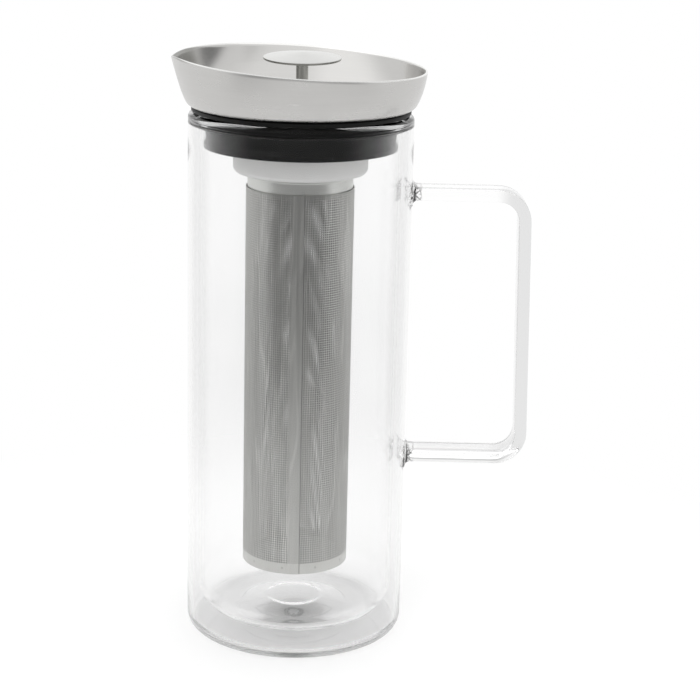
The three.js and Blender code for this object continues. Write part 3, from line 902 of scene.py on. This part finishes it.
def hair_scratches():
    """Sparse hairline scratches that run in many directions."""
    made, given, wanted = effect("hair_scratches", [("Density", 0.5)], ["Scratches"])
    place = object_place(made)
    strongest = None
    for angle, seed in ((0.35, 1.3), (1.25, 4.1), (2.3, 7.7)):
        layer = stretched(place, (60, 2600, 900), 0, (seed, seed / 2, 0), (0.2, angle / 3, angle))
        strongest = layer if strongest is None else maths("MAXIMUM", strongest, layer)
    sparse = minus(0.86, times(given["Density"], 0.12))
    feed(wanted["Scratches"], ramp(strongest, sparse, plus(sparse, 0.03)))
    return made


def fine_dust():
    """Specks of dust and a faint cloudy bloom."""
    made, given, wanted = effect("fine_dust", [("Speck Size", 0.35)], ["Specks", "Bloom"])
    place = object_place(made)
    cells = node(made, "ShaderNodeTexVoronoi")
    cell_size = times(given["Speck Size"], 4)
    fill(cells, Vector=place, Scale=maths("DIVIDE", 0.5 / MM, cell_size))
    speck = ramp(cells.outputs["Distance"], 0.05, 0.14, 1, 0)
    chosen = maths("GREATER_THAN", noise(cells.outputs["Position"], 900, 0), 0.6)
    feed(wanted["Specks"], times(speck, chosen))
    feed(wanted["Bloom"], noise(place, 60, 4))
    return made


TURNING, HAIR, DUST = turning_lines(), hair_scratches(), fine_dust()


# Steel
def steel(name, colour, roughness, line_width=0.25, contrast=0.035, scratches=0.1, metallic=1):
    """Spun and brushed stainless steel."""
    made, tree, shader, _ = material(name)
    fill(shader, Metallic=metallic)
    grain = placed(tree, TURNING, Line_Width=line_width)
    hair = placed(tree, HAIR, Density=scratches)["Scratches"]
    shares = (("Lines", 0.45), ("Bands", 0.3), ("Polish", 0.25))
    mixed = plus(*(times(grain[label], share) for label, share in shares))
    spread = ramp(mixed, 0.3, 0.7)
    plain = blend(spread, shade(colour, 1 - contrast), shade(colour, 1 + contrast))
    scratched = blend(times(hair, 0.3), plain, shade(colour, 1.25))
    polish = ramp(grain["Polish"], 0.3, 0.7, roughness - 0.05, roughness + 0.05)
    rough = plus(polish, times(grain["Lines"], 0.06))
    rough = minus(rough, times(hair, 0.12))
    height = minus(grain["Lines"], times(hair, 0.5))
    fill(shader, Base_Color=scratched, Roughness=rough, Normal=bump(height, 0.12, 0.02))
    return made


def finished(made):
    """A steel's node tree and shader, and what feeds its colour and its roughness."""
    shader = made.node_tree.nodes["Principled BSDF"]
    colour, rough = (shader.inputs[label].links[0].from_socket for label in ("Base Color", "Roughness"))
    return made.node_tree, shader, colour, rough


def knob_steel(name):
    """Fine satin top, with painted shade on the turned edge where it faces sideways."""
    made = steel(name, tone(228, 228, 226), 0.3)
    tree, shader, plain, _ = finished(made)
    # Painted shade: darker where the surface turns to face sideways.
    edge = ramp(facing_up(tree), 0.93, 0.6)
    fill(shader, Base_Color=blend(edge, plain, tone(172, 172, 168)))
    return made


def collar_steel(name):
    """Satin outside and more polished inside the bowl, with painted shade where the bowl folds in at the beak
    and a painted highlight along the rim.
    """
    made = steel(name, tone(198, 197, 195), 0.25, contrast=0.025, scratches=0.0)
    tree, shader, plain, rough = finished(made)
    _, (x, _, z), _ = around_axis(tree)
    inside = ramp(facing_up(tree), -0.04, 0.08)
    fill(shader, Roughness=times(rough, minus(1, times(inside, 0.42))))
    # Painted shade: darker inside the bowl where it folds in at the beak.
    crease_painted_shade = times(inside, fade(x, -47, -54), 0.75)
    plain = blend(crease_painted_shade, plain, tone(128, 128, 124))
    # Painted highlight: a bright band along the rim's top edge.
    fall = times(x, math.tan(math.radians(RIM_TILT)))
    below_rim = minus(plus(z, fall), (COLLAR_UNDERSIDE + RIM_RISE) * MM)
    ground = times(fade(below_rim, -0.55, -0.25), 0.8)
    fill(shader, Base_Color=blend(ground, plain, tone(244, 244, 242)))
    return made


def hole_field(place, x, y, z, reach, seam):
    """The hole grid's lines, counted in holes; where the sheet is etched; and the turn from the seam."""
    if not seam:
        lines = tuple(maths("DIVIDE", along, HOLE_PITCH * MM) for along in (x, y))
        return lines, maths("LESS_THAN", reach, END_DISC_FIELD * MM), None
    turn = maths("ARCTAN2", x, times(y, -1))
    columns = round(math.tau * FOIL_RADIUS / HOLE_PITCH)
    pulled = times(minus(noise(place, 45, 1), 0.5), 1.6)
    lines = (plus(times(turn, columns / math.tau), pulled), maths("DIVIDE", z, HOLE_PITCH * MM))
    from_seam = maths("ABSOLUTE", times(turn, FOIL_RADIUS))
    beside_seam = maths("GREATER_THAN", from_seam, SEAM_WIDTH / 2 + SEAM_BORDER)
    above = maths("GREATER_THAN", z, (FOIL_BOTTOM + BOTTOM_BORDER) * MM)
    below = maths("LESS_THAN", z, (FOIL_TOP - TOP_BORDER) * MM)
    return lines, times(beside_seam, times(above, below)), turn


def beyond_hole(lines, streak):
    """How far a place is outside its hole, in half pitches; below zero it is in the hole."""
    share = HOLE_WIDTH / HOLE_PITCH
    hole_share = ramp(streak, 0.3, 0.7, share - HOLE_UNEVENNESS, share + HOLE_UNEVENNESS)
    edge = None
    for line in lines:
        from_middle = distance(maths("FRACT", line), 0.5)
        outside = minus(times(from_middle, 2), hole_share)
        edge = outside if edge is None else maths("SMOOTH_MAX", edge, outside, 0.12)
    return edge


def seam_and_welds(metal, height, turn, z, colour):
    """Plain lower border, a painted shadow line beside the lapped end, and a ring of spot welds."""
    below_border = minus(1, maths("GREATER_THAN", z, (FOIL_BOTTOM + BOTTOM_BORDER) * MM))
    metal = blend(below_border, metal, shade(colour, 1.08))
    # Painted shadow: a dark line beside the step of the lapped end.
    from_lap = distance(times(turn, FOIL_RADIUS), SEAM_WIDTH / 2 + 0.25)
    lap = ramp(from_lap, 0.12, 0.3, 1, 0)
    metal = blend(times(lap, 0.7), metal, shade(colour, 0.25))
    weld_turn = maths("FRACT", plus(times(turn, WELDS / math.tau), 0.82))
    weld_x = times(minus(weld_turn, 0.5), math.tau * FOIL_RADIUS / WELDS)
    weld_z = minus(maths("DIVIDE", z, MM), FOIL_BOTTOM + WELD_HEIGHT)
    squares = plus(times(weld_x, weld_x), times(weld_z, weld_z))
    weld = ramp(maths("SQRT", squares), 0.35, 0.75, 1, 0)
    metal = blend(times(weld, 0.5), metal, shade(colour, 0.55))
    return metal, minus(height, times(weld, 2))


def etched_sheet(name, colour, roughness, seam=False):
    """Thin steel sheet etched with a square grid of holes; the sleeve's has a plain seam and borders."""
    made, tree, shader, _ = material(name)
    fill(shader, Metallic=1)
    place, (x, y, z), reach = around_axis(tree)
    lines, field, turn = hole_field(place, x, y, z, reach, seam)
    streak = stretched(place, (260, 260, 16), 2)
    edge = beyond_hole(lines, streak)
    hole = times(maths("LESS_THAN", edge, 0), field)
    fill(shader, Alpha=minus(1, hole))
    rolling = stretched(place, (1500, 1500, 30), 2)
    metal = blend(ramp(rolling, 0.3, 0.7), shade(colour, 0.9), shade(colour, 1.1))
    metal = blend(times(ramp(streak, 0.35, 0.7), 0.25), metal, shade(colour, 1.3))
    # Painted highlight: thin wavy bright lines along the streaks.
    from_crest = distance(stretched(place, (120, 120, 11), 1), 0.5)
    painted_glint = times(ramp(from_crest, 0.035, 0.004), ramp(streak, 0.3, 0.6), 0.55)
    metal = blend(painted_glint, metal, shade(colour, 1.5))
    plain = times(minus(1, field), 0.4)
    metal = blend(plain, metal, shade(colour, 0.62))
    # Painted shade: a dark ring round each hole, on the sunken etched slope.
    etched = times(ramp(edge, 0.02, 0.28, 1, 0), field)
    metal = blend(times(etched, 0.9), metal, shade(colour, 0.22))
    height = times(etched, -1)
    if seam:
        metal, height = seam_and_welds(metal, height, turn, z, colour)
    rough = ramp(rolling, 0.3, 0.7, roughness - 0.06, roughness + 0.08)
    fill(shader, Base_Color=metal, Roughness=rough, Normal=bump(height, 0.4, 0.05))
    return made


# Silicone and glass
def silicone(name, colour, roughness):
    """Moulded silicone rubber, with a little dust on it."""
    made, tree, shader, _ = material(name)
    dust = placed(tree, DUST)
    bloom = blend(ramp(dust["Bloom"], 0.35, 0.75), shade(colour, 0.85), shade(colour, 1.3))
    dusty = blend(times(dust["Specks"], 0.35), bloom, (0.3, 0.3, 0.29))
    rough = ramp(dust["Bloom"], 0.3, 0.7, roughness - 0.06, roughness + 0.08)
    grain = bump(noise(object_place(tree), 1400, 1), 0.1, 0.03)
    fill(shader, Base_Color=dusty, Roughness=rough, Normal=grain, IOR=1.41, Specular_IOR_Level=0.25)
    return made


def light_path(tree):
    return node(tree, "ShaderNodeLightPath").outputs


def let_light_through(shader, output):
    """Makes a clear material hardly shade what lies behind and under it."""
    tree = shader.id_data
    clear = node(tree, "ShaderNodeBsdfTransparent")
    fill(clear, Color=(0.975, 0.975, 0.975))
    path = light_path(tree)
    through = maths("MAXIMUM", path["Is Shadow Ray"], path["Is Diffuse Ray"])
    fill(output, Surface=either(through, shader.outputs[0], clear.outputs[0]))


def clear_silicone(name):
    """Clear, slightly milky silicone of the vent plug."""
    made, tree, shader, output = material(name)
    dust = placed(tree, DUST, Speck_Size=0.25)
    milky = blend(dust["Bloom"], tone(196, 197, 197), tone(212, 213, 213))
    rough = ramp(dust["Bloom"], 0.3, 0.7, 0.22, 0.4)
    fill(shader, Base_Color=milky, Roughness=rough, IOR=1.41, Transmission_Weight=1)
    let_light_through(shader, output)
    return made


def wall_tint_and_shade(place, z, reach):
    """Nearly clear walls, a little greyer half-way up, with painted shade where the outer wall is seen at a
    slant.
    """
    drawn = noise(place, 24, 2)
    middle = blend(drawn, grey(250), grey(254))
    upper = blend(drawn, grey(252), grey(255))
    tint = blend(fade(z, 45, 110), grey(255), middle)
    tint = blend(fade(z, 150, 190), tint, upper)
    # Painted shade: the outer wall greys where it is seen at a slant.
    facing = node(place.id_data, "ShaderNodeLayerWeight").outputs["Facing"]
    outer_wall = fade(reach, BODY_RADIUS - 4, BODY_RADIUS - 3)
    slant_shade = times(ramp(facing, 0.4, 0.6), outer_wall, fade(z, 45, 130, 0.25, 1))
    return blend(slant_shade, tint, grey(236))


def rod_painted_shade(x, z):
    """The handle's thick rod, with painted shade: greyest in its upright, white in its top run."""
    in_top_run = fade(z, 140, 205)
    in_grip = fade(x, HANDLE_TOP[0] - 14, HANDLE_TOP[0] - 5)
    return blend(in_grip, blend(in_top_run, grey(243), grey(255)), grey(230))


def lip_and_base_painted_shade(tint, z, reach):
    """Painted shade on the thick glass of the lip and the base, darkest over the vent."""
    # Painted shade: grey on the lip, a greyer base, and a dark patch over the vent.
    tint = blend(fade(z, LIP_LEVEL - 1.5, LIP_LEVEL), tint, grey(186))
    in_base = fade(z, BASE_THICKNESS + 1.5, BASE_THICKNESS + 0.5)
    tint = blend(in_base, tint, grey(244))
    on_base = fade(z, BASE_THICKNESS - 0.6, BASE_THICKNESS - 0.2)
    over_vent = times(fade(reach, 22, VENT_RADIUS), in_base, on_base)
    return blend(over_vent, tint, grey(166))


def roots_and_painted_strokes(place, x, z):
    """Where the rod is melted on: the place of the roots, and painted shade as dark seam and fork lines in
    them.
    """
    to_top_root = distance(z, HANDLE_TOP[1] * MM)
    to_bottom_root = distance(z, HANDLE_BOTTOM[1] * MM)
    from_root = maths("MINIMUM", to_top_root, to_bottom_root)
    outside = fade(x, BODY_RADIUS - 1.5, BODY_RADIUS)
    near_wall = fade(x, BODY_RADIUS + 5, BODY_RADIUS + 2.5)
    at_root = times(fade(from_root, 7.5, 4.5), outside, near_wall)
    uneven = times(minus(noise(place, 260, 1), 0.5), 2.2 * MM)
    out = minus(minus(x, (BODY_RADIUS + 1) * MM), uneven)
    # Painted shade: dark lines where the fused glass bends light.
    seam = fade(maths("ABSOLUTE", out), 0.55, 0.2)
    from_fork = distance(from_root, times(out, 0.9))
    fork = times(fade(from_fork, 0.6, 0.2), fade(out, -0.5, 0))
    return at_root, times(maths("MAXIMUM", seam, fork), at_root)


def clear_glass(name):
    """Borosilicate glass of body, vessel and handle, with a ground foot."""
    made, tree, shader, output = material(name)
    place, (x, _, z), reach = around_axis(tree)
    in_handle = fade(x, BODY_RADIUS + 1, BODY_RADIUS + 8)
    # Painted shade is carried in this grey: on walls seen at a slant, in the rod, lip and base, and as dark
    # strokes at the roots.
    tint = blend(in_handle, wall_tint_and_shade(place, z, reach), rod_painted_shade(x, z))
    tint = lip_and_base_painted_shade(tint, z, reach)
    at_root, painted_strokes = roots_and_painted_strokes(place, x, z)
    fill(shader, Base_Color=blend(painted_strokes, tint, grey(70)), Roughness=fade(z, 3, 1, 0, 0.35))
    fill(shader, IOR=1.47, Transmission_Weight=1, Specular_Tint=(0.2, 0.2, 0.2))
    waves = bump(noise(place, 55, 1), 0.02, 0.12)
    folds = times(noise(place, 420, 1), at_root)
    fill(shader, Normal=bump(folds, 0.5, 0.6, waves))
    let_light_through(shader, output)
    return made


# Making
def finish(piece, body, nodes, slot, look, *values, **more):
    """Gives a piece its material, named for its slot, puts it on its body, and hides the solids that it
    stands for.
    """
    piece.data.materials.clear()
    piece.data.materials.append(look(slot, *values, **more))
    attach(piece, body)
    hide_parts(*nodes)


def make_jug():
    glass_nodes = ["outer_glass_body", "inner_glass_vessel", "glass_handle"]
    finish(glass_jug(), "jug", glass_nodes, "outer_glass", clear_glass)
    finish(vent_button(), "jug", ["vent_plug"], "clear_silicone", clear_silicone)


def make_lid():
    finish(gasket_ring(), "gasket", ["neck_gasket"], "black_silicone", silicone, tone(17, 17, 17), 0.45)
    finish(pouring_collar(), "lid", ["pouring_collar"], "collar_steel", collar_steel)
    finish(throat_sleeve(), "lid", ["throat_tube"], "throat_steel", steel, tone(192, 192, 190), 0.33)


def make_filter():
    # The cup's steel is given a paler colour, painted light that offsets the gasket's shade over it.
    finish(cup_shell(), "filter", ["filter_cup"], "cup_steel", steel, tone(233, 233, 232), 0.55, metallic=0.3)
    finish(neck_flare(), "filter", ["filter_neck"], "neck_steel", steel, tone(220, 221, 218), 0.36)
    foil = foil_sleeve()
    finish(foil, "filter", ["filter_foil"], "etched_foil", etched_sheet, tone(200, 200, 197), 0.36, seam=True)
    finish(end_hoop(), "filter", ["filter_end_ring"], "ring_steel", steel, tone(184, 184, 182), 0.36)
    finish(end_screen(), "filter", ["filter_end_disc"], "disc_foil", etched_sheet, tone(160, 160, 157), 0.42)


def make_stopper():
    backing_bottom = BACKING_TOP - PLATE_SHEET
    nut_top = backing_bottom - GAP
    plate = washer("stopper_lid", STOPPER_RADIUS, STOPPER_BOTTOM, STOPPER_BOTTOM + PLATE_SHEET, 0.4)
    finish(plate, "stopper", ["stopper_plate"], "plate_steel", steel, tone(204, 204, 201), 0.32)
    finish(seal_ring(), "stopper", ["stopper_seal"], "seal_silicone", silicone, tone(32, 32, 32), 0.5)
    backing = washer("backing_washer", BACKING_RADIUS, backing_bottom, BACKING_TOP, 0.3)
    finish(backing, "stopper", ["stopper_backing_plate"], "backing_steel", steel, tone(186, 186, 184), 0.35)
    spacer = washer("spacer_tube", SPACER_RADIUS, SEAL_BOTTOM, SEAL_TOP, 0.2, SMALL_SIDES)
    finish(spacer, "stopper", ["stopper_spacer"], "spacer_steel", steel, tone(176, 176, 174), 0.35)
    nut = washer("nut_hexagon", NUT_RADIUS, nut_top - NUT_HEIGHT, nut_top, 0.2, NUT_SIDES)
    finish(nut, "stopper", ["stopper_nut"], "nut_steel", steel, tone(170, 170, 168), 0.3)
    finish(stem_rod(), "stopper", ["knob_stem"], "stem_steel", steel, tone(174, 174, 170), 0.2, 0.12)
    finish(knob_cap(), "stopper", ["knob_disc"], "knob_steel", knob_steel)


make_jug()
make_lid()
make_filter()
make_stopper()

# Studio, in metres
TABLE_LEVEL = -0.2 * MM
TABLE_SIZE = 24
LIGHT_LEVEL = 0.84
WHITE = (1, 1, 1)
LAMP_AIM = (0, 0, 0.12)
LAMPS = (
    ("key_lamp", (-1.1, -1.3, 1.9), 1.4, 11),
    ("fill_lamp", (1.5, -0.9, 1.2), 1.4, 5),
    ("top_lamp", (0.1, 0.5, 2.0), 1.6, 8),
)


def for_rays(tree, rays, shown, shading):
    """One shader for some kinds of rays, and another for all others."""
    path = light_path(tree)
    seen = path[rays[0]]
    for ray in rays[1:]:
        seen = maths("MAXIMUM", seen, path[ray])
    return either(seen, shading, shown)


def after_mirror(tree):
    """One for light that a surface has mirrored, and zero for all other light."""
    depth = light_path(tree)["Glossy Depth"]
    return maths("GREATER_THAN", depth, 0.5)


def background(tree, strength):
    made = node(tree, "ShaderNodeBackground")
    fill(made, Color=WHITE, Strength=strength)
    return made.outputs[0]


def glow(tree, strength):
    made = node(tree, "ShaderNodeEmission")
    fill(made, Strength=strength)
    return made.outputs[0]


def mirrored_level(tree):
    """White in mirrors, but for the dim and bright parts of the room that the photo's steel shows."""
    x, y, z = parts_of(node(tree, "ShaderNodeTexCoord").outputs["Generated"])
    room = times(ramp(y, -0.3, -0.7), ramp(z, 0.44, 0.34))
    right_side = times(ramp(x, 0.84, 0.93), ramp(z, 0.21, 0.13))
    above_rear = times(ramp(y, 0.3, 0.6), ramp(z, 0.5, 0.62))
    left_box = times(ramp(x, 0.0, -0.4), ramp(z, 0.27, 0.5))
    front_box = times(ramp(y, 0.1, -0.3), ramp(z, 0.3, 0.55))
    parts = ((room, -0.72), (right_side, -0.72), (above_rear, -0.3), (left_box, 0.2), (front_box, 0.17))
    change = plus(*(times(part, share) for part, share in parts))
    return plus(1, times(change, after_mirror(tree)))


def studio_world():
    """Even light on the object, a mirrored room in its steel, and white to the camera."""
    world = bpy.data.worlds.new("studio")
    bpy.context.scene.world = world
    world.use_nodes = True
    tree = world.node_tree
    tree.nodes.clear()
    light = background(tree, LIGHT_LEVEL)
    mirrored = background(tree, mirrored_level(tree))
    light = for_rays(tree, ("Is Glossy Ray", "Is Transmission Ray"), mirrored, light)
    light = for_rays(tree, ("Is Camera Ray",), background(tree, 1), light)
    fill(node(tree, "ShaderNodeOutputWorld"), Surface=light)


def table_paper():
    """White paper with the object's shadow near it, plain white further out, and dim in mirrors in front."""
    made, tree, paper, output = material("table_paper")
    fill(paper, Base_Color=(0.86, 0.86, 0.86), Roughness=0.9, Specular_IOR_Level=0)
    _, (_, y, _), reach = around_axis(tree)
    to_camera = light_path(tree)["Is Camera Ray"]
    near = node(tree, "ShaderNodeAddShader")
    feed(near.inputs[0], paper.outputs[0])
    feed(near.inputs[1], glow(tree, plus(0.04, times(to_camera, 0.1))))
    in_front = ramp(turn_share(y, reach), -0.2, -0.7)
    dim = times(ramp(reach, 0.3, 0.62), in_front, after_mirror(tree))
    far = glow(tree, minus(1, times(dim, 0.75)))
    seen = either(ramp(reach, 0.08, 0.3), near.outputs[0], far)
    rays = ("Is Camera Ray", "Is Glossy Ray", "Is Transmission Ray")
    fill(output, Surface=for_rays(tree, rays, seen, paper.outputs[0]))
    return made


def table():
    """The pale floor that the jug stands on."""
    bpy.ops.mesh.primitive_plane_add(size=TABLE_SIZE, location=(0, 0, TABLE_LEVEL))
    made = bpy.context.object
    made.name = "table"
    made.data.materials.append(table_paper())


def area_lamp(name, place, size, power):
    """A round soft lamp aimed at the jug, not seen in mirrors."""
    lamp = with_values(bpy.data.lights.new(name, "AREA"), shape="DISK", size=size, energy=power)
    holder = bpy.data.objects.new(name, lamp)
    bpy.context.scene.collection.objects.link(holder)
    holder.location = place
    holder.visible_glossy = False
    holder.rotation_mode = "QUATERNION"
    holder.rotation_quaternion = (Vector(LAMP_AIM) - Vector(place)).to_track_quat("-Z", "Y")


studio_world()
table()
for lamp_values in LAMPS:
    area_lamp(*lamp_values)

# Camera, worked out from the ellipses in the photograph
PITCH, ROLL = math.radians(15.589), math.radians(1.342)
CAMERA_PLACE = (0.025036, -0.909017, 0.392487)
FOCAL_PIXELS = 1971.4
PICTURE_PIXELS = 700
SENSOR_WIDTH = 36


def photograph_camera():
    """A camera at the photograph's place, turned by its pitch and roll."""
    data = bpy.data.cameras.new("camera")
    data.sensor_width = SENSOR_WIDTH
    data.lens = FOCAL_PIXELS / PICTURE_PIXELS * SENSOR_WIDTH
    data.clip_start = 0.05
    camera = bpy.data.objects.new("camera", data)
    bpy.context.scene.collection.objects.link(camera)
    bpy.context.scene.camera = camera
    side = Vector((1, 0, 0))
    ahead = Vector((0, math.cos(PITCH), -math.sin(PITCH)))
    level_up = Vector((0, math.sin(PITCH), math.cos(PITCH)))
    right = side * math.cos(ROLL) + level_up * math.sin(ROLL)
    up = level_up * math.cos(ROLL) - side * math.sin(ROLL)
    axes = Matrix((right, up, -ahead)).transposed().to_4x4()
    camera.matrix_world = Matrix.Translation(CAMERA_PLACE) @ axes


photograph_camera()

# Light passes many glass surfaces on its way
scene = bpy.context.scene
scene.view_settings.view_transform = "Standard"
scene.cycles.max_bounces = 96
scene.cycles.transmission_bounces = 96
scene.cycles.glossy_bounces = 64
scene.cycles.transparent_max_bounces = 24
